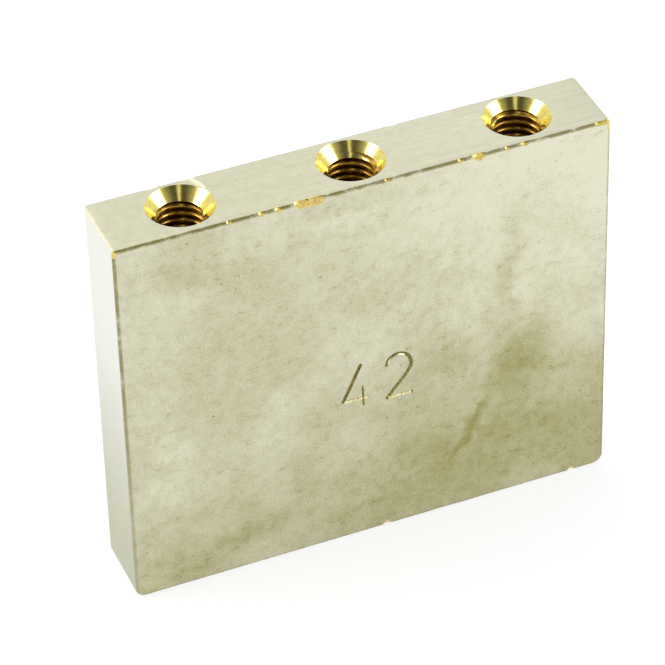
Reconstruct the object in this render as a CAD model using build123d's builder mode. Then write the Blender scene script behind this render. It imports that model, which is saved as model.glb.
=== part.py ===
from build123d import *

import os
from math import radians, tan

# A mounting block: one brass bar, milled square, drilled, tapped and then nickel plated.
# It stands on its foot, with the tapped holes on top and its front at -Y. The origin is the
# middle of the foot. All sizes are in millimetres and degrees.

# Bar
block_width = 50.0  # along X
block_thickness = 8.0  # along Y
block_height = 42.0  # along Z
foot_corner_radius = 1.0  # the two lower corners, seen from the front
back_edge_radius = 0.8  # the uprights at the back and the foot edge between them
edge_break = 0.25  # every other outside edge

# Tapped holes in the top face. They are modelled at tap size, which is the thread's crest.
thread_diameter = 5.0
thread_pitch = 0.8
tapped_hole_count = 3
tapped_hole_spacing = 17.0
tapped_row_right_shift = 0.2  # the drilled row sits a little right of the middle
tapped_row_back_shift = 0.2  # and a little behind it, so the land is wider at the front
tapped_hole_depth = 15.0  # from the top face to the end of the round wall
countersink_depth = 1.2

# Hook holes in the foot, where the bent ends of springs push in
hook_hole_diameter = 3.0
hook_hole_count = 5
hook_hole_spacing = 10.0
hook_hole_depth = 10.0  # from the foot to the end of the round wall
hook_mouth_depth = 0.3  # a light countersink at the mouth

# Cutters
countersink_angle = 90.0
drill_point_angle = 118.0

# Places and radii that follow from the sizes above
tap_drill_radius = (thread_diameter - thread_pitch) / 2
hook_hole_radius = hook_hole_diameter / 2
tapped_row_middle = (tapped_row_right_shift, tapped_row_back_shift, block_height)
tapped_row = Plane(origin=tapped_row_middle, x_dir=(1, 0, 0), z_dir=(0, 0, 1))
hook_row = Plane(origin=(0, 0, 0), x_dir=(1, 0, 0), z_dir=(0, 0, -1))


def drilled_hole(radius, depth, mouth_depth):
    """Cuts a blind hole with a countersunk mouth and the cone that the drill's point leaves."""
    mouth_radius = radius + mouth_depth * tan(radians(countersink_angle / 2))
    point_height = radius / tan(radians(drill_point_angle / 2))
    CounterSinkHole(radius, mouth_radius, depth, countersink_angle)
    with Locations((0, 0, -depth)):
        Cone(
            bottom_radius=0,
            top_radius=radius,
            height=point_height,
            align=(Align.CENTER, Align.CENTER, Align.MAX),
            mode=Mode.SUBTRACT,
        )


with BuildPart() as mounting_block:
    # The bar, with its two rounded foot corners. The easing of the back uprights runs on round
    # these corners and along the foot, because their edges meet in one smooth line.
    with BuildSketch(Plane.XZ):
        Rectangle(block_width, block_height, align=(Align.CENTER, Align.MIN))
    extrude(amount=block_thickness / 2, both=True)
    foot_corners = mounting_block.edges().filter_by(Axis.Y).group_by(Axis.Z)[0]
    fillet(foot_corners, radius=foot_corner_radius)
    back_uprights = mounting_block.edges().filter_by(Axis.Z).group_by(Axis.Y)[-1]
    fillet(back_uprights, radius=back_edge_radius)

    # The broken edges: the outlines of the front and the back, and the ends of the top
    front_face = mounting_block.faces().sort_by(Axis.Y)[0]
    back_face = mounting_block.faces().sort_by(Axis.Y)[-1]
    top_face = mounting_block.faces().sort_by(Axis.Z)[-1]
    fillet(front_face.edges() + back_face.edges() + top_face.edges(), radius=edge_break)

    # The row of tapped holes in the top
    with Locations(tapped_row):
        with GridLocations(tapped_hole_spacing, 0, tapped_hole_count, 1):
            drilled_hole(tap_drill_radius, tapped_hole_depth, countersink_depth)

    # The row of hook holes in the foot
    with Locations(hook_row):
        with GridLocations(hook_hole_spacing, 0, hook_hole_count, 1):
            drilled_hole(hook_hole_radius, hook_hole_depth, hook_mouth_depth)

mounting_block.part.label = "mounting_block"
os.makedirs("parts", exist_ok=True)
export_step(mounting_block.part, "parts/mounting_block.step")
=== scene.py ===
import math

import bmesh
import bpy
from mathutils import Matrix, Vector, noise


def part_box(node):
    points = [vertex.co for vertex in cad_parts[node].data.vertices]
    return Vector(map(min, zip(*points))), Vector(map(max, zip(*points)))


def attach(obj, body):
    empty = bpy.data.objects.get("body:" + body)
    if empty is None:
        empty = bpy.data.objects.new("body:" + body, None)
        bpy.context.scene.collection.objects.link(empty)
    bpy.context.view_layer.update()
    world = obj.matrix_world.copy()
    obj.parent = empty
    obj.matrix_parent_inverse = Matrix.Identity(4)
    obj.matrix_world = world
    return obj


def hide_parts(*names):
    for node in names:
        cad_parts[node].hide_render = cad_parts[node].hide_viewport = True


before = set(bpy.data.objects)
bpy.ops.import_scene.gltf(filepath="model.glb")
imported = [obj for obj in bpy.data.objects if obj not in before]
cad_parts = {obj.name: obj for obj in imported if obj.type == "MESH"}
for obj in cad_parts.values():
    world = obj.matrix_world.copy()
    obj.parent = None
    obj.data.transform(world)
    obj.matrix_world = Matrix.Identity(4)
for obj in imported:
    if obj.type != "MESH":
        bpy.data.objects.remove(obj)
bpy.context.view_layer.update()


# ---------------------------------------------------------------------------------------
# The bar: one piece of free-cutting brass, milled square and broken along its edges by hand.
# It is two strips of filed and knocked edge, at the front and the back, with flats between,
# in millimetres until the holes are cut.

MM = 0.001
bar_low, bar_high = (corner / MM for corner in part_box("mounting_block"))
FACE_Y = {"front": bar_low.y, "back": bar_high.y}
INWARD = {"front": 1, "back": -1}
TOP = bar_high.z

# The sides in order round the front face: outward direction, direction of travel and
# the sharp corner where the side starts, each as (x, z).
SIDES = {
    "foot": (Vector((0, -1)), Vector((1, 0)), Vector((bar_low.x, bar_low.z))),
    "right": (Vector((1, 0)), Vector((0, 1)), Vector((bar_high.x, bar_low.z))),
    "top": (Vector((0, 1)), Vector((-1, 0)), Vector((bar_high.x, bar_high.z))),
    "left": (Vector((-1, 0)), Vector((0, -1)), Vector((bar_low.x, bar_high.z))),
}
ORDER = list(SIDES)

# Width of the broken edge along each side, and radius of the corner that ends each side
EDGE_WIDTHS = {
    "front": {"foot": 0.25, "right": 0.24, "top": 0.20, "left": 0.27},
    "back": {"foot": 0.80, "right": 0.85, "top": 0.22, "left": 0.70},
}
CORNER_RADII = {"foot": 1.05, "right": 0.30, "top": 0.28, "left": 0.90}
LEAST_RADIUS = 0.03

# Room kept at a corner beyond the broken edge, and beyond the corner itself
EDGE_ROOM = 0.35
CORNER_ROOM = 0.1

# The file's slow wander and fine marks: how much of the width, and how many per millimetre
FILED_WIDTH = 0.25
WANDER, WANDER_RATE = 0.16, 0.35
FILE_MARKS, FILE_MARKS_RATE = 0.14, 2.6

# Share of an edge that is flat and not round: filed, and what the middle of a knock adds
FILED_FLAT = 0.25
KNOCKED_FLAT = 0.6

# Knocks on the edges: face, side, middle (x on the top and foot, z on the ends), length
# along the edge, and how much wider the edge is there
KNOCKS = [
    ("front", "top", -6.45, 1.5, 0.36),
    ("front", "top", -5.05, 2.0, 0.42),
    ("front", "top", -8.75, 0.7, 0.14),
    ("front", "top", -10.45, 0.6, 0.16),
    ("front", "top", -13.6, 0.5, 0.10),
    ("front", "top", 2.1, 0.5, 0.08),
    ("front", "top", 9.55, 0.6, 0.14),
    ("front", "top", 11.45, 1.4, 0.34),
    ("front", "top", 14.3, 0.5, 0.09),
    ("front", "top", 16.1, 0.8, 0.10),
    ("front", "top", 24.2, 1.8, 0.12),
    ("front", "top", -24.7, 1.0, 0.10),
    ("front", "left", 41.6, 0.8, 0.07),
    ("front", "right", 41.4, 1.2, 0.08),
    ("front", "foot", 1.45, 0.9, 0.22),
    ("front", "foot", 21.5, 0.8, 0.20),
    ("back", "top", -18.6, 1.0, 0.16),
    ("back", "top", -14.6, 1.6, 0.12),
    ("back", "top", 6.0, 0.7, 0.12),
    ("back", "left", 27.0, 0.8, 0.15),
    ("back", "right", 12.5, 1.0, 0.18),
]
KNOCK_RAGGED, KNOCK_RAGGED_RATE = 0.5, 4.0

# How much further a knock reaches over the front or back than over the other side
KNOCK_ON_FACE = 1.25
KNOCK_ON_SIDE = 0.40

# The mesh: points along the edges, steps across an edge and round a corner, rows from
# front to back in a corner, and a narrow flat border inside each edge
POINT_SPACING = 0.13
EDGE_STEPS = 6
CORNER_STEPS = 6
END_ROWS = 18
FLAT_BORDER = 0.08


def next_side(side):
    return ORDER[(ORDER.index(side) + 1) % len(ORDER)]


def side_before(side):
    return ORDER[ORDER.index(side) - 1]


def side_length(side):
    return (SIDES[next_side(side)][2] - SIDES[side][2]).length


def edge_here(face, side, distance):
    """Width of the broken edge at a distance along a side, what knocks add, and how hard."""
    _, travel, start = SIDES[side]
    point = start + travel * distance
    place = point.x if travel.x else point.y
    seed = 31.0 * ORDER.index(side) + 97.0 * FACE_Y[face]
    wander = WANDER * noise.noise(Vector((place * WANDER_RATE, seed, 0.0)))
    marks = FILE_MARKS * noise.noise(Vector((place * FILE_MARKS_RATE, seed, 5.0)))
    base = EDGE_WIDTHS[face][side]
    width = base + min(base, FILED_WIDTH) * (wander + marks)
    extra_width, knocked = 0.0, 0.0
    for knock_face, knock_side, middle, length, extra in KNOCKS:
        reach = abs(place - middle) / (length / 2)
        if (knock_face, knock_side) == (face, side) and reach < 1:
            bite = (1 - reach * reach) ** 0.8
            ragged = noise.noise(Vector((place * KNOCK_RAGGED_RATE, middle, 9.0)))
            extra_width += extra * bite * (1 + KNOCK_RAGGED * ragged)
            knocked = max(knocked, bite)
    return width, extra_width, knocked


def corner_margin(face, corner, neighbour):
    """Distance from a sharp corner at which the straight run of a side starts or ends."""
    return max(CORNER_RADII[corner], EDGE_WIDTHS[face][neighbour] + EDGE_ROOM) + CORNER_ROOM


def walk_round(face):
    """Stations round a face: a side, a distance along it, or a share of its end corner."""
    stations = []
    for side in ORDER:
        before = side_before(side)
        start = corner_margin(face, before, before)
        end = side_length(side) - corner_margin(face, side, next_side(side))
        count = round((end - start) / POINT_SPACING)
        for n in range(count + 1):
            distance = start + (end - start) * n / count
            stations.append({"side": side, "distance": distance, "turn": None})
        for n in range(CORNER_STEPS + 1):
            stations.append({"side": side, "distance": end, "turn": n / CORNER_STEPS})
    return stations


def section(edge, step):
    """Distance in from the side and from the face, at a step across the broken edge."""
    width, extra, knocked = edge
    along_face = width + KNOCK_ON_FACE * extra
    along_side = width + KNOCK_ON_SIDE * extra
    if step < 0:
        return along_face + FLAT_BORDER, 0.0
    if step > EDGE_STEPS:
        return 0.0, along_side + FLAT_BORDER
    share = step / EDGE_STEPS
    angle = share * math.pi / 2
    flat = FILED_FLAT + KNOCKED_FLAT * knocked
    from_side = along_face * ((1 - flat) * (1 - math.sin(angle)) + flat * (1 - share))
    from_face = along_side * ((1 - flat) * (1 - math.cos(angle)) + flat * share)
    return from_side, from_face


def station_point(face, station, step):
    """Place of a station on the ring at a step across the edge, and its wear."""
    side, turn = station["side"], station["turn"]
    out, travel, start = SIDES[side]
    edge = edge_here(face, side, station["distance"])
    knocked = edge[2]
    from_side, from_face = section(edge, step)
    if turn is None:
        flat = start + travel * station["distance"] - out * from_side
    else:
        after = next_side(side)
        out_after, _, sharp_corner = SIDES[after]
        edge_after = edge_here(face, after, corner_margin(face, side, side))
        side_after, face_after = section(edge_after, step)
        radius = max(CORNER_RADII[side] - min(from_side, side_after), LEAST_RADIUS)
        middle = sharp_corner - out * (from_side + radius) - out_after * (side_after + radius)
        angle = turn * math.pi / 2
        flat = middle + (out * math.cos(angle) + out_after * math.sin(angle)) * radius
        ease = turn * turn * (3 - 2 * turn)
        from_face += (face_after - from_face) * ease
        knocked += (edge_after[2] - knocked) * ease
    point = Vector((flat.x, FACE_Y[face] + INWARD[face] * from_face, flat.y))
    on_edge = 0 <= step <= EDGE_STEPS
    return point, knocked if on_edge else 0.0


def on_side(ring, walk, side, turning):
    """The points of a ring that lie along a side, or round the corner that ends it."""
    return [
        vert for vert, station in zip(ring, walk)
        if station["side"] == side and (station["turn"] is not None) == turning
    ]


def build_bar():
    mesh = bmesh.new()
    wear = mesh.verts.layers.float.new("wear")
    rings, walks = {}, {}
    for face in FACE_Y:
        walks[face] = walk_round(face)
        for step in range(-1, EDGE_STEPS + 2):
            ring = []
            for station in walks[face]:
                point, knocked = station_point(face, station, step)
                vert = mesh.verts.new(point)
                vert[wear] = knocked
                ring.append(vert)
            rings[face, step] = ring
        mesh.faces.new(rings[face, -1])
        for step in range(-1, EDGE_STEPS + 1):
            outer, inner = rings[face, step], rings[face, step + 1]
            for n in range(len(outer)):
                mesh.faces.new((outer[n - 1], outer[n], inner[n], inner[n - 1]))

    # The four corners run from the front strip to the back one in short rows.
    columns = {}
    for side in ORDER:
        ends = []
        for face in FACE_Y:
            ends.append(on_side(rings[face, EDGE_STEPS + 1], walks[face], side, True))
        rows = [ends[0]]
        for row in range(1, END_ROWS):
            share = row / END_ROWS
            rows.append([mesh.verts.new(a.co.lerp(b.co, share)) for a, b in zip(*ends)])
        rows.append(ends[1])
        for near, far in zip(rows, rows[1:]):
            for n in range(CORNER_STEPS):
                mesh.faces.new((near[n], near[n + 1], far[n + 1], far[n]))
        columns[side] = rows

    # The foot, the top and the two ends are flats between the strips and the corners.
    for side in ORDER:
        at_front = on_side(rings["front", EDGE_STEPS + 1], walks["front"], side, False)
        at_back = on_side(rings["back", EDGE_STEPS + 1], walks["back"], side, False)
        at_start = [row[-1] for row in columns[side_before(side)]]
        at_end = [row[0] for row in columns[side]]
        mesh.faces.new(at_front + at_end + at_back[::-1] + at_start[::-1])
    bmesh.ops.recalc_face_normals(mesh, faces=mesh.faces)
    data = bpy.data.meshes.new("mounting_block_dressed")
    mesh.to_mesh(data)
    mesh.free()
    bar = bpy.data.objects.new("mounting_block_dressed", data)
    bpy.context.scene.collection.objects.link(bar)
    return bar


def new_metal(name):
    material = bpy.data.materials.new(name)
    material.use_nodes = True
    material.node_tree.nodes["Principled BSDF"].inputs["Metallic"].default_value = 1.0
    return material


bar = build_bar()

# A warm, slightly greenish white with soft, cloudy reflections
nickel = new_metal("satin nickel plate, aged")
bar.data.materials.append(nickel)


# ---------------------------------------------------------------------------------------
# The tapped holes in the top: bare brass, drilled, countersunk and tapped M5 after plating.
# Each is a drill with its countersink, then the tap's groove as a right-hand helix.

TAPPED_AT = [(-16.8, 0.2), (0.2, 0.2), (17.2, 0.2)]
TAP_DRILL_RADIUS = 2.1
TAPPED_DEPTH = 15.0
COUNTERSINK = 1.2
POINT_SLOPE = math.tan(math.radians(118 / 2))
THREAD_PITCH = 0.8
THREAD_LENGTH = 12.6
THREAD_SEGMENTS = 60
HOLE_SEGMENTS = 128
CLEAR = 0.6

# The groove of the tap as depth into the wall and half width, from its root over the
# flank to the rounded crest, and the turns in which it fades out at the bottom
GROOVE = [(0.40, 0.050), (0.12, 0.212), (0.06, 0.262), (0.02, 0.322), (0.0, 0.386), (-0.15, 0.386)]
FADE_TURNS = 1.4
THREAD_STARTS = [0.6, 2.5, 4.4]


def new_cutter():
    mesh = bmesh.new()
    mesh.verts.layers.float.new("wear")
    return mesh


def lathe(mesh, profile, middle, segments):
    """Solid turned about an upright axis. The profile's first and last points are on it."""
    rings = []
    for radius, height in profile:
        if radius == 0:
            rings.append([mesh.verts.new((*middle, height))] * segments)
            continue
        turns = [2 * math.pi * n / segments for n in range(segments)]
        rings.append([
            mesh.verts.new((middle[0] + radius * math.cos(a), middle[1] + radius * math.sin(a), height))
            for a in turns
        ])
    for upper, lower in zip(rings, rings[1:]):
        for n in range(segments):
            corners = [upper[n - 1], upper[n], lower[n], lower[n - 1]]
            mesh.faces.new(list(dict.fromkeys(corners)))


def helix(mesh, middle, start_angle):
    """Groove of the tap, from its last faint turn up into the countersink."""
    first = TOP - THREAD_LENGTH
    last = TOP - COUNTERSINK + THREAD_PITCH
    turns = (last - first) / THREAD_PITCH
    rings = []
    for n in range(round(turns * THREAD_SEGMENTS) + 1):
        turn = n / THREAD_SEGMENTS
        angle = start_angle + 2 * math.pi * turn
        height = first + THREAD_PITCH * turn
        fade = min(turn / FADE_TURNS, 1.0)
        profile = [(max(depth, 0) * fade + min(depth, 0), half) for depth, half in GROOVE]
        corners = [(depth, -half) for depth, half in profile[::-1]] + profile
        rings.append([
            mesh.verts.new((
                middle[0] + (TAP_DRILL_RADIUS + depth) * math.cos(angle),
                middle[1] + (TAP_DRILL_RADIUS + depth) * math.sin(angle),
                height + rise,
            ))
            for depth, rise in corners
        ])
    count = len(rings[0])
    mesh.faces.new(rings[0])
    mesh.faces.new(rings[-1][::-1])
    for before, after in zip(rings, rings[1:]):
        for n in range(count):
            mesh.faces.new((before[n - 1], before[n], after[n], after[n - 1]))


def cut(body, name, mesh, *materials):
    """Take a cutter from the body. The new surfaces keep the cutter's materials."""
    bmesh.ops.recalc_face_normals(mesh, faces=mesh.faces)
    data = bpy.data.meshes.new(name)
    mesh.to_mesh(data)
    mesh.free()
    for material in materials:
        data.materials.append(material)
    tool = bpy.data.objects.new(name, data)
    bpy.context.scene.collection.objects.link(tool)
    boolean = body.modifiers.new(name, "BOOLEAN")
    boolean.operation = "DIFFERENCE"
    boolean.solver = "EXACT"
    boolean.material_mode = "TRANSFER"
    boolean.object = tool
    bpy.context.view_layer.update()
    shown = body.evaluated_get(bpy.context.evaluated_depsgraph_get())
    result = bpy.data.meshes.new_from_object(shown)
    old = body.data
    body.modifiers.remove(boolean)
    body.data = result
    bpy.data.meshes.remove(old)
    bpy.data.objects.remove(tool)


# Bright yellow with sharp fans of light and dark round the cone
polished_brass = new_metal("countersunk brass, bright cut")
# Deeper and browner, with thin glints along the crests of the thread
thread_brass = new_metal("tapped brass, oily")

drills = new_cutter()
for place in TAPPED_AT:
    lathe(drills, [
        (0, TOP + CLEAR),
        (TAP_DRILL_RADIUS + COUNTERSINK + CLEAR, TOP + CLEAR),
        (TAP_DRILL_RADIUS, TOP - COUNTERSINK),
        (TAP_DRILL_RADIUS, TOP - TAPPED_DEPTH),
        (0, TOP - TAPPED_DEPTH - TAP_DRILL_RADIUS / POINT_SLOPE),
    ], place, HOLE_SEGMENTS)
cut(bar, "tapping_drills", drills, polished_brass)

taps = new_cutter()
for place, start_angle in zip(TAPPED_AT, THREAD_STARTS):
    helix(taps, place, start_angle)
cut(bar, "taps", taps, thread_brass)


# ---------------------------------------------------------------------------------------
# The hook holes in the foot: five blind holes in the bare brass, for the bent ends of
# springs. They are drilled, and each has a light countersink.

HOOK_HOLES_AT = [-20.0, -10.0, 0.0, 10.0, 20.0]
HOOK_RADIUS = 1.5
HOOK_DEPTH = 10.0
HOOK_MOUTH = 0.3
HOOK_SEGMENTS = 72

# A flat, brownish yellow without clear reflections
drilled_brass = new_metal("drilled brass, dull")

hook_drills = new_cutter()
for x in HOOK_HOLES_AT:
    lathe(hook_drills, [
        (0, -CLEAR),
        (HOOK_RADIUS + HOOK_MOUTH + CLEAR, -CLEAR),
        (HOOK_RADIUS, HOOK_MOUTH),
        (HOOK_RADIUS, HOOK_DEPTH),
        (0, HOOK_DEPTH + HOOK_RADIUS / POINT_SLOPE),
    ], (x, 0.0), HOOK_SEGMENTS)
cut(bar, "hook_drills", hook_drills, drilled_brass)


# ---------------------------------------------------------------------------------------
# The size number on the front: the bar's height in millimetres, cut through the plate by
# hand with a tilted tool. The broad wall is tarnished, with painted shade; the other has a painted glint.
# The tool chattered on the level strokes, which are rows of small pits.

CHATTER = 0.24
LIFT = 0.05
STROKE_STEP = 0.05
CURVE_STEPS = 16
END_STEPS = 8
LEAST_HALF_WIDTH = 0.55

# Each stroke: its path as (x, z), width, depth, share of the upper wall, and chatter
STROKES = [
    ([(-1.06, 21.06), (-2.93, 17.10)], 0.38, 0.12, 0.90, 0.0),
    ([(-2.93, 17.05), (-0.38, 16.93)], 0.36, 0.10, 0.35, 0.6),
    ([(-0.84, 18.32), (-0.80, 16.09)], 0.30, 0.10, 0.75, 0.3),
    ([(1.68, 20.22), (1.95, 20.83), (2.55, 21.18), (3.22, 21.14), (3.86, 20.72), (4.21, 19.95),
      (4.10, 19.20), (3.62, 18.45), (2.90, 17.60), (2.20, 16.78), (1.71, 16.15)], 0.40, 0.12, 0.78, 0.12),
    ([(1.71, 16.15), (4.23, 16.10)], 0.38, 0.10, 0.32, 0.6),
]


def smooth_path(points, spacing):
    """Even points along a curve through the given ones."""
    dense = []
    padded = [points[0] * 2 - points[1], *points, points[-1] * 2 - points[-2]]
    for a, b, c, d in zip(padded, padded[1:], padded[2:], padded[3:]):
        for n in range(CURVE_STEPS):
            t = n / CURVE_STEPS
            dense.append(0.5 * (
                b * 2 + (c - a) * t + (a * 2 - b * 5 + c * 4 - d) * t * t
                + (b * 3 - a - c * 3 + d) * t * t * t
            ))
    dense.append(points[-1])
    length = sum((q - p).length for p, q in zip(dense, dense[1:]))
    count = max(round(length / spacing), 2)
    path, walked, k = [dense[0]], 0.0, 0
    for n in range(1, count):
        target = length * n / count
        while walked + (dense[k + 1] - dense[k]).length < target:
            walked += (dense[k + 1] - dense[k]).length
            k += 1
        part = (target - walked) / (dense[k + 1] - dense[k]).length
        path.append(dense[k].lerp(dense[k + 1], part))
    path.append(dense[-1])
    return path


def engrave(mesh, stroke, seed):
    """Groove of the tool along a stroke. Its first material is the upper wall's."""
    points, width, depth_limit, upper_share, chatter = stroke
    path = smooth_path([Vector(p) for p in points], STROKE_STEP)
    surface = FACE_Y["front"]
    start = path[1] - path[0]
    upward = 1 if start.x + 0.4 * start.y > 0 else -1
    rings = []
    for n, point in enumerate(path):
        ahead, behind = path[min(n + 1, len(path) - 1)], path[max(n - 1, 0)]
        along = (ahead - behind).normalized()
        across = Vector((-along.y, along.x)) * upward
        walked = n * STROKE_STEP
        beat = 0.5 + 0.5 * math.cos(2 * math.pi * walked / CHATTER + seed)
        scale = 1 - chatter * beat + 0.12 * noise.noise(Vector((walked * 2.0, seed, 3.0)))
        depth = depth_limit * scale
        half = width / 2 * (LEAST_HALF_WIDTH + (1 - LEAST_HALF_WIDTH) * scale)
        flare = (depth + LIFT) / depth
        bottom = point + across * half * (1 - 2 * upper_share)
        upper = bottom + across * (half * 2 * upper_share) * flare
        lower = bottom - across * (half * 2 * (1 - upper_share)) * flare
        rings.append([
            mesh.verts.new((upper.x, surface - LIFT, upper.y)),
            mesh.verts.new((bottom.x, surface + depth, bottom.y)),
            mesh.verts.new((lower.x, surface - LIFT, lower.y)),
        ])
    for before, after in zip(rings, rings[1:]):
        for n in range(3):
            wall = mesh.faces.new((before[n - 1], before[n], after[n], after[n - 1]))
            # The lower wall, which faces up, takes the painted glint; the upper wall takes tarnish with
            # painted shade
            wall.material_index = 1 if n == 2 else 0
    for ring, far in ((rings[0], rings[1]), (rings[-1], rings[-2])):
        middle = (ring[0].co + ring[2].co) / 2
        spoke = ring[0].co - middle
        outward = (ring[1].co - far[1].co).normalized() * spoke.length
        fan = [ring[0]]
        for n in range(1, END_STEPS):
            turn = math.pi * n / END_STEPS
            fan.append(mesh.verts.new(middle + spoke * math.cos(turn) + outward * math.sin(turn)))
        fan.append(ring[2])
        for a, b in zip(fan, fan[1:]):
            mesh.faces.new((a, b, ring[1]))
        mesh.faces.new(fan)


# Dark olive lines that draw the number: tarnish in the groove, with painted shade on the broad upper walls,
# which face down
tarnished_shaded_brass = new_metal("engraved brass, tarnished, painted shade")
# Painted glints: pale brass on the lower walls, which face up
glint_painted_brass = new_metal("engraved brass, painted glint")

for number, stroke in enumerate(STROKES):
    graver = new_cutter()
    engrave(graver, stroke, 1.3 * number)
    cut(bar, "graver", graver, tarnished_shaded_brass, glint_painted_brass)


# ---------------------------------------------------------------------------------------
# Dents and scrapes: shallow hollows pressed into the plate, which stays whole in them. Each
# is a lens-shaped cut.

# Each dent: its face, its place on that face, its length, width and depth, and its turn in
# that face in degrees
DENTS = [
    ("top", (-14.25, 2.95), 2.8, 0.85, 0.10, 112),
    ("top", (-18.2, 3.85), 1.1, 0.5, 0.12, 8),
    ("top", (5.9, 3.1), 1.2, 0.35, 0.03, 20),
    ("front", (-13.39, 19.59), 0.9, 0.28, 0.05, 50),
    ("front", (6.81, 18.09), 0.5, 0.22, 0.04, 10),
    ("front", (7.10, 28.47), 0.8, 0.26, 0.05, 60),
    ("front", (19.38, 34.01), 0.5, 0.24, 0.05, 40),
    ("front", (20.36, 17.21), 0.8, 0.16, 0.03, 65),
    ("front", (3.95, 13.45), 0.42, 0.30, 0.06, 20),
    ("front", (1.35, 1.60), 1.7, 0.14, 0.03, 75),
    ("front", (4.6, 33.0), 2.6, 0.09, 0.02, -12),
    ("front", (-9.3, 31.2), 0.7, 0.14, 0.03, 30),
    ("front", (-20.4, 12.6), 0.5, 0.2, 0.03, 20),
    ("back", (-9.0, 25.0), 2.4, 0.16, 0.03, 25),
    ("back", (14.0, 12.0), 0.7, 0.3, 0.05, 70),
    ("back", (3.5, 33.5), 0.5, 0.25, 0.05, 10),
]
WORN_REACH = 1.4
SMOOTH_ANGLE = math.radians(20)


def dent(mesh, face, spot, length, width, depth, turn):
    """Lens-shaped cutter, sunk into a face by its depth."""
    made = bmesh.ops.create_uvsphere(mesh, u_segments=28, v_segments=14, radius=1.0)
    shape = Matrix.Diagonal((length / 2, width / 2, depth, 1.0))
    spin = Matrix.Rotation(math.radians(turn), 4, "Z")
    if face == "top":
        place = Matrix.Translation((*spot, TOP))
    else:
        lean = Matrix.Rotation(math.radians(90 * INWARD[face]), 4, "X")
        place = Matrix.Translation((spot[0], FACE_Y[face], spot[1])) @ lean
    bmesh.ops.transform(mesh, matrix=place @ spin @ shape, verts=made["verts"])


hollows = new_cutter()
for entry in DENTS:
    dent(hollows, *entry)
cut(bar, "dents", hollows, nickel)


def finish_mesh(body):
    """Keep wear to the edges, turn to metres, and shade smooth up to the real corners."""
    for point, wear in zip(body.data.vertices, body.data.attributes["wear"].data):
        gaps = [min(at - low, high - at) for at, low, high in zip(point.co, bar_low, bar_high)]
        to_nearest_edge = sorted(gaps)[1]
        if to_nearest_edge > WORN_REACH:
            wear.value = 0.0
    body.data.transform(Matrix.Scale(MM, 4))
    body.data.shade_smooth()
    body.data.set_sharp_from_angle(angle=SMOOTH_ANGLE)
    body.data.name = body.name


finish_mesh(bar)


# ---------------------------------------------------------------------------------------
# Finishes: thin nickel plate that has gone cloudy with handling and is worn through to
# yellow brass at the knocks. The holes and the number were cut after plating and are bare.


def srgb(code):
    """Linear RGBA of an sRGB hex colour."""
    values = [int(code[n:n + 2], 16) / 255 for n in (0, 2, 4)]
    return (*(v / 12.92 if v <= 0.04045 else ((v + 0.055) / 1.055) ** 2.4 for v in values), 1.0)


def feed(tree, node, inputs):
    """Set a node's inputs. Each is a value or another node's output."""
    for key, value in inputs.items():
        if isinstance(value, bpy.types.NodeSocket):
            tree.links.new(value, node.inputs[key])
        else:
            node.inputs[key].default_value = value


def add(tree, kind, inputs=None, out=0, **settings):
    """Add a node, and return one of its outputs, or the node itself where out is None."""
    node = tree.nodes.new("ShaderNode" + kind)
    for name, value in settings.items():
        setattr(node, name, value)
    feed(tree, node, inputs or {})
    return node if out is None else node.outputs[out]


def blend_colours(tree, factor, first, second):
    return add(tree, "Mix", {0: factor, 6: first, 7: second}, out=2, data_type="RGBA")


def ramp(tree, value, start, end, low=0.0, high=1.0):
    """Smooth step of a value from low at the start to high at the end."""
    inputs = {"Value": value, "From Min": start, "From Max": end, "To Min": low, "To Max": high}
    return add(tree, "MapRange", inputs, interpolation_type="SMOOTHSTEP")


def product(tree, *factors):
    result = factors[0]
    for factor in factors[1:]:
        result = add(tree, "Math", {0: result, 1: factor}, operation="MULTIPLY")
    return result


def total(tree, *terms):
    result = terms[0]
    for term in terms[1:]:
        result = add(tree, "Math", {0: result, 1: term}, operation="ADD")
    return result


def in_millimetres(tree):
    """Place on the bar in millimetres, as a vector and as its three parts."""
    place = add(tree, "TexCoord", out=3)
    place = add(tree, "VectorMath", {0: place, "Scale": 1 / MM}, operation="SCALE")
    parts = add(tree, "SeparateXYZ", {0: place}, out=None)
    return place, parts.outputs[0], parts.outputs[1], parts.outputs[2]


def patch(tree, place, middle, size, turn):
    """Soft oval patch at a place on the front, turned in the front's plane."""
    local = add(tree, "Mapping", {
        "Vector": place,
        "Location": (middle[0], FACE_Y["front"], middle[1]),
        "Rotation": (0.0, -math.radians(turn), 0.0),
        "Scale": (size[0] / 2, 1.0, size[1] / 2),
    }, vector_type="TEXTURE")
    reach = add(tree, "VectorMath", {0: local}, out=1, operation="LENGTH")
    return ramp(tree, reach, 1.0, 0.0)


def edge_line(tree, parts, first, second, width):
    """Band along one edge of the bar, where two of its flat sides meet."""
    gaps = []
    for axis, place in (first, second):
        gap = add(tree, "Math", {0: parts[axis], 1: place}, operation="SUBTRACT")
        gaps.append(add(tree, "Math", {0: gap, 1: gap}, operation="MULTIPLY"))
    reach = add(tree, "Math", {0: total(tree, *gaps), 1: 0.5}, operation="POWER")
    return ramp(tree, reach, width, width * 0.45)


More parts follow.
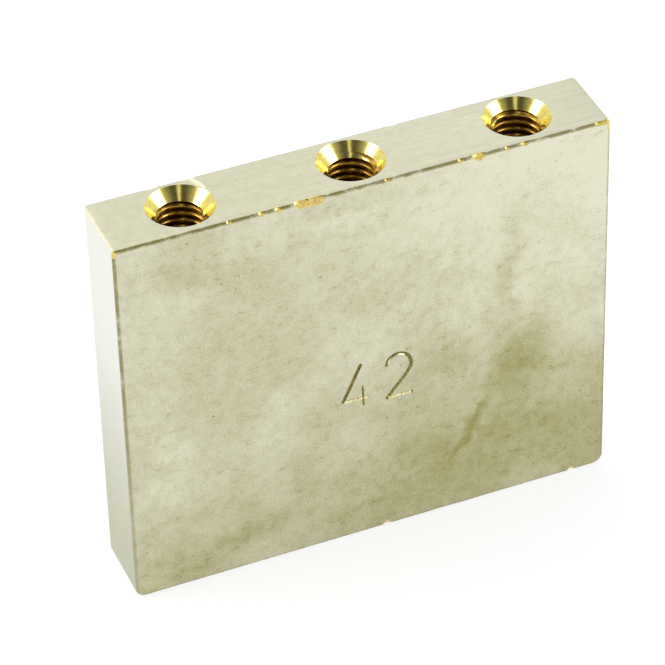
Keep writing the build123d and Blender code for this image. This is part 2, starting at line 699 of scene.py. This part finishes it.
# Stains on the front: middle as (x, z), size, turn in degrees, and how dull each is. Below
# zero it is a brighter spot.
STAINS = [
    ((10.4, 9.6), (15.5, 1.9), 66.0, 0.42),
    ((12.4, 9.0), (15.0, 5.5), 64.0, 0.10),
    ((14.4, 28.0), (19.0, 5.5), 84.0, 0.30),
    ((16.5, 18.5), (13.0, 8.5), 40.0, 0.26),
    ((19.5, 7.5), (14.0, 3.5), -8.0, 0.10),
    ((-18.1, 37.0), (12.0, 6.0), -12.0, 0.26),
    ((-15.7, 27.7), (5.0, 2.0), 25.0, 0.12),
    ((-9.0, 21.9), (6.0, 2.2), 20.0, 0.12),
    ((-4.5, 33.5), (11.0, 4.0), 20.0, 0.08),
    ((5.8, 31.5), (8.0, 5.0), 10.0, 0.10),
    ((-12.5, 4.0), (12.0, 4.5), 8.0, 0.28),
    ((-23.5, 4.4), (3.4, 6.5), 80.0, 0.12),
    ((-2.0, 38.6), (11.0, 4.0), 0.0, -0.28),
    ((-20.0, 14.0), (22.0, 10.0), 88.0, -0.14),
]


def noise_of(tree, place, scale, detail, roughness):
    inputs = {"Vector": place, "Scale": scale, "Detail": detail, "Roughness": roughness}
    return add(tree, "TexNoise", inputs)


def rubbed_streaks(tree, place, clouds):
    """Short streaks, all leaning the same way."""
    leaning = add(tree, "Mapping", {
        "Vector": place,
        "Rotation": (0.0, math.radians(-24), 0.0),
        "Scale": (0.55, 1.0, 3.0),
    })
    streaks = noise_of(tree, leaning, 1.0, 4.0, 0.75)
    return product(tree, ramp(tree, streaks, 0.55, 0.68, 0.0, 0.17), ramp(tree, clouds, 0.40, 0.60))


def dark_pits(tree, place):
    """Small pits of different sizes here and there."""
    cells = add(tree, "TexVoronoi", {"Vector": place, "Scale": 0.62, "Randomness": 1.0}, out=None)
    chance = add(tree, "SeparateXYZ", {0: cells.outputs["Color"]}, out=None)
    pit_size = ramp(tree, chance.outputs[0], 0.60, 1.0, 0.0, 0.09)
    pit_gap = add(tree, "Math", {0: pit_size, 1: cells.outputs["Distance"]}, operation="SUBTRACT")
    return ramp(tree, pit_gap, -0.02, 0.04, 0.0, 0.50)


def hair_scratches(tree, place, mottle):
    """Two sets of thin lines, where a stretched pattern crosses its middle."""
    scratches = 0.0
    for turn, seed in ((-14.0, 3.0), (52.0, 11.0)):
        combed = add(tree, "Mapping", {
            "Vector": place,
            "Location": (seed, seed, seed),
            "Rotation": (0.0, math.radians(turn), 0.0),
            "Scale": (0.16, 0.6, 1.5),
        })
        web = noise_of(tree, combed, 1.0, 2.0, 0.4)
        off_middle = add(tree, "Math", {0: web, 1: 0.5}, operation="SUBTRACT")
        hair = ramp(tree, add(tree, "Math", {0: off_middle}, operation="ABSOLUTE"), 0.014, 0.003)
        gate = ramp(tree, mottle, 0.50, 0.60, 0.0, 0.22)
        scratches = total(tree, product(tree, hair, gate), scratches)
    return scratches


def handled_front(tree, place, x, z, clouds):
    """Dull low down and to the right, pale at the top right, with the stains."""
    # Where the dull area begins: low at the left, higher at the right
    brink = ramp(tree, x, -17.0, 9.0, 4.0, 17.0)
    below = add(tree, "Math", {0: brink, 1: z}, operation="SUBTRACT")
    wavy = add(tree, "Math", {0: clouds, 1: 14.0, 2: below}, operation="MULTIPLY_ADD")
    low = product(tree, ramp(tree, wavy, -1.0, 15.0, 0.0, 0.43), ramp(tree, z, 0.0, 9.0, 0.72, 1.0))
    climb = add(tree, "Math", {0: z, 1: 1.3, 2: x}, operation="MULTIPLY_ADD")
    pale = ramp(tree, climb, 35.0, 76.0, 0.0, -0.30)

    warp = add(tree, "TexNoise", {"Vector": place, "Scale": 0.35, "Detail": 3.0}, out=1)
    shift = add(tree, "VectorMath", {0: warp, 1: (0.5, 0.5, 0.5)}, operation="SUBTRACT")
    shift = add(tree, "VectorMath", {0: shift, "Scale": 3.5}, operation="SCALE")
    wavering = add(tree, "VectorMath", {0: place, 1: shift}, operation="ADD")
    stains = []
    for middle, size, turn, strength in STAINS:
        stains.append(product(tree, patch(tree, wavering, middle, size, turn), strength))
    return total(tree, low, *stains, pale)


def milled_top_painted_shade(tree, place, x, z, mottle_part, colour):
    """The top: its plate is set darker as painted shade under the back light, and darker towards the left,
    with fine milling lines along it.
    """
    on_top = ramp(tree, z, TOP - 0.06, TOP - 0.01)
    to_left = ramp(tree, x, bar_low.x, bar_high.x, 0.75, 0.0)
    inputs = {0: mottle_part, 1: 2.0, 2: to_left}
    tone = add(tree, "Math", inputs, operation="MULTIPLY_ADD", use_clamp=True)
    # Painted shade: the top's plate colour is set darker to offset the back light that falls on it
    colour = blend_colours(tree, on_top, colour, blend_colours(tree, tone, srgb("D2D1BB"), srgb("B9B89E")))
    drawn = add(tree, "VectorMath", {0: place, 1: (0.05, 2.4, 1.0)}, operation="MULTIPLY")
    lines = ramp(tree, noise_of(tree, drawn, 1.0, 4.0, 0.7), 0.35, 0.65, 0.0, 0.22)
    return blend_colours(tree, product(tree, on_top, lines), colour, srgb("A8A684"))


def edge_bands(tree, parts, mottle, grain, colour):
    """Dark olive bands along the four front edges, and a pale dotted line along the edge between the left
    end and the top.
    """
    front = ("y", FACE_Y["front"])
    patchy = ramp(tree, mottle, 0.30, 0.55, 0.55, 1.0)
    broken = ramp(tree, mottle, 0.36, 0.50, 0.45, 1.0)
    fading = ramp(tree, parts["z"], 0.0, 30.0, 0.5, 1.0)
    for meeting, width, gate, strength in (
        (("z", TOP), 0.36, broken, 0.86),
        (("x", bar_low.x), 0.38, fading, 0.9),
        (("x", bar_high.x), 0.36, 1.0, 0.6),
        (("z", bar_low.z), 0.36, 1.0, 0.7),
    ):
        line = edge_line(tree, parts, front, meeting, width)
        amount = product(tree, line, gate, patchy, strength)
        colour = blend_colours(tree, amount, colour, srgb("8B8148"))
    # A pale dotted line along the edge between the left end and the top
    pale_dotted_edge = edge_line(tree, parts, ("x", bar_low.x), ("z", TOP), 0.35)
    amount = product(tree, pale_dotted_edge, ramp(tree, grain, 0.45, 0.6))
    return blend_colours(tree, amount, colour, srgb("EBDDA6"))


def dress_nickel(material):
    """Cloudy, stained and scratched plate, with brass where the edges are knocked."""
    tree = material.node_tree
    place, x, y, z = in_millimetres(tree)
    clouds = noise_of(tree, place, 0.12, 2.5, 0.5)
    mottle = noise_of(tree, place, 0.95, 5.0, 0.7)
    grain = noise_of(tree, place, 5.0, 3.0, 0.65)
    mottle_part = ramp(tree, mottle, 0.34, 0.66, -0.05, 0.06)
    marks = total(
        tree,
        ramp(tree, clouds, 0.35, 0.68, -0.07, 0.11),
        mottle_part,
        ramp(tree, grain, 0.32, 0.68, -0.11, 0.11),
        rubbed_streaks(tree, place, clouds),
        dark_pits(tree, place),
        hair_scratches(tree, place, mottle),
    )
    handled = total(tree, marks, handled_front(tree, place, x, z, clouds))
    dullness = add(tree, "Math", {0: handled, 1: 0.29}, operation="ADD", use_clamp=True)
    colour = blend_colours(tree, dullness, srgb("E3E1CB"), srgb("9D985E"))

    # The left end is painted paler and less yellow, from painted shade near the floor up to a painted
    # highlight at the top.
    on_end = ramp(tree, x, bar_low.x + 0.3, bar_low.x + 0.05)
    end_shade_to_highlight = blend_colours(tree, ramp(tree, z, 2.0, 34.0), srgb("C1C1A8"), srgb("EBECE4"))
    colour = blend_colours(tree, on_end, colour, end_shade_to_highlight)
    colour = milled_top_painted_shade(tree, place, x, z, mottle_part, colour)
    colour = edge_bands(tree, {"x": x, "y": y, "z": z}, mottle, grain, colour)

    # Bare brass in the knocks, smoother than the plate around it
    wear = add(tree, "Attribute", out=2, attribute_name="wear")
    worn = ramp(tree, add(tree, "Math", {0: grain, 1: 0.28, 2: wear}, operation="MULTIPLY_ADD"), 0.37, 0.63)
    bare = blend_colours(tree, ramp(tree, grain, 0.25, 0.75), srgb("F2E08E"), srgb("C9AC55"))
    colour = blend_colours(tree, worn, colour, bare)

    dull_part = add(tree, "Math", {0: mottle, 1: 0.16, 2: 0.33}, operation="MULTIPLY_ADD")
    roughness = add(tree, "Math", {0: worn, 1: -0.16, 2: dull_part}, operation="MULTIPLY_ADD")
    height = add(tree, "Math", {0: grain, 1: 0.35, 2: mottle}, operation="MULTIPLY_ADD")
    normal = add(tree, "Bump", {"Height": height, "Strength": 0.12, "Distance": 0.02 * MM})
    finish = {"Base Color": colour, "Roughness": roughness, "Normal": normal}
    feed(tree, tree.nodes["Principled BSDF"], finish)


def dress_brass(material, scale, detail, start, end, light, dark, roughness):
    """Bare brass, whose tone shifts with the oil, dirt or tool marks on it."""
    tree = material.node_tree
    place = in_millimetres(tree)[0]
    marks = add(tree, "TexNoise", {"Vector": place, "Scale": scale, "Detail": detail})
    colour = blend_colours(tree, ramp(tree, marks, start, end), srgb(light), srgb(dark))
    feed(tree, tree.nodes["Principled BSDF"], {"Base Color": colour, "Roughness": roughness})


dress_nickel(nickel)
dress_brass(polished_brass, 2.2, 3.0, 0.35, 0.70, "F4E388", "E6CF68", 0.15)
dress_brass(thread_brass, 1.1, 4.0, 0.35, 0.65, "BC9542", "7D5C22", 0.20)
# The number: tarnish with painted shade on the upper walls, and a painted glint on the lower walls
dress_brass(tarnished_shaded_brass, 3.0, 3.0, 0.35, 0.65, "948D50", "6E6634", 0.38)
dress_brass(glint_painted_brass, 4.0, 2.0, 0.40, 0.62, "F3EBC4", "C9B876", 0.20)
dress_brass(drilled_brass, 0.9, 4.0, 0.30, 0.70, "CDB468", "96803F", 0.32)

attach(bar, "root")
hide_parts("mounting_block")


# ---------------------------------------------------------------------------------------
# The studio: white paper under the bar in a white room that is dark above and behind the
# camera, a large soft light high at the back and a soft box at each side.

REACH = 3.0

floor_mesh = bpy.data.meshes.new("floor")
corners = [(-REACH, -REACH, 0), (REACH, -REACH, 0), (REACH, REACH, 0), (-REACH, REACH, 0)]
floor_mesh.from_pydata(corners, [], [(0, 1, 2, 3)])
floor = bpy.data.objects.new("floor", floor_mesh)
bpy.context.scene.collection.objects.link(floor)
floor.location.z = -0.02 * MM

# Clean white that keeps the bar's soft shadow, and looks white in its reflections too
paper = bpy.data.materials.new("white paper")
paper.use_nodes = True
tree = paper.node_tree
shader = tree.nodes["Principled BSDF"]
rays = add(tree, "LightPath", out=None)
kinds = ("Is Camera Ray", "Is Glossy Ray", "Is Transmission Ray")
seen = total(tree, *(rays.outputs[kind] for kind in kinds))
tone = blend_colours(tree, seen, srgb("EFF0EE"), srgb("8E8F8D"))
feed(tree, shader, {"Base Color": tone, "Roughness": 0.9})
glow = add(tree, "Emission", {"Color": (1, 1, 1, 1), "Strength": product(tree, seen, 0.76)})
mixed = add(tree, "AddShader", {0: shader.outputs[0], 1: glow})
feed(tree, tree.nodes["Material Output"], {"Surface": mixed})
floor_mesh.materials.append(paper)

world = bpy.data.worlds.new("white room")
world.use_nodes = True
bpy.context.scene.world = world
tree = world.node_tree
direction = add(tree, "TexCoord")
parts = add(tree, "SeparateXYZ", {0: direction}, out=None)
above = ramp(tree, parts.outputs[2], 0.50, 0.64)
in_front = ramp(tree, parts.outputs[1], 0.04, -0.12)

# A narrow bright strip parts the dark into two, to the left and the right of the camera.
to_right = (0.956, -0.292, 0.0)
across = add(tree, "VectorMath", {0: direction, 1: to_right}, out=1, operation="DOT_PRODUCT")
across = add(tree, "Math", {0: across}, operation="ABSOLUTE")
aside = ramp(tree, across, 0.055, 0.085)
dark = product(tree, above, in_front, aside, ramp(tree, across, 0.25, 0.78, 0.84, 0.35))
glow = add(tree, "Math", {0: dark, 1: -1.0, 2: 0.93}, operation="MULTIPLY_ADD")
feed(tree, tree.nodes["Background"], {"Color": (1, 1, 1, 1), "Strength": glow})


def soft_box(name, towards, distance, size, power):
    """Area lamp in a direction from the bar's middle, facing it."""
    lamp = bpy.data.lights.new(name, "AREA")
    lamp.shape = "RECTANGLE"
    lamp.size, lamp.size_y = size
    lamp.energy = power
    holder = bpy.data.objects.new(name, lamp)
    holder.location = Vector(towards).normalized() * distance + Vector((0, 0, 0.03))
    holder.rotation_euler = Vector(towards).to_track_quat("Z", "Y").to_euler()
    bpy.context.scene.collection.objects.link(holder)


soft_box("soft_box_left", (-0.76, 0.24, 0.58), 1.0, (0.42, 0.42), 3.2)
soft_box("soft_box_right", (0.80, -0.27, 0.55), 1.0, (0.50, 0.42), 3.6)
soft_box("back_light", (-0.10, 0.75, 0.80), 1.4, (1.2, 0.9), 3.1)


# ---------------------------------------------------------------------------------------
# The camera: a long lens that looks down on the front, the top and the left end. It is
# held a little off level.

AIM = Vector((-3.82, -4.0, 25.94)) * MM
STANDPOINT = Vector((-111.23, -274.13, 255.69)) * MM
ROLL = math.radians(-1.71)

camera = bpy.data.cameras.new("camera")
camera.sensor_width = 36.0
camera.lens = 212.4
viewer = bpy.data.objects.new("camera", camera)
bpy.context.scene.collection.objects.link(viewer)
facing = (AIM - STANDPOINT).to_track_quat("-Z", "Y").to_matrix().to_4x4()
viewer.matrix_world = Matrix.Translation(STANDPOINT) @ facing @ Matrix.Rotation(ROLL, 4, "Z")
bpy.context.scene.camera = viewer
bpy.context.scene.view_settings.view_transform = "Standard"

bpy.context.view_layer.update()
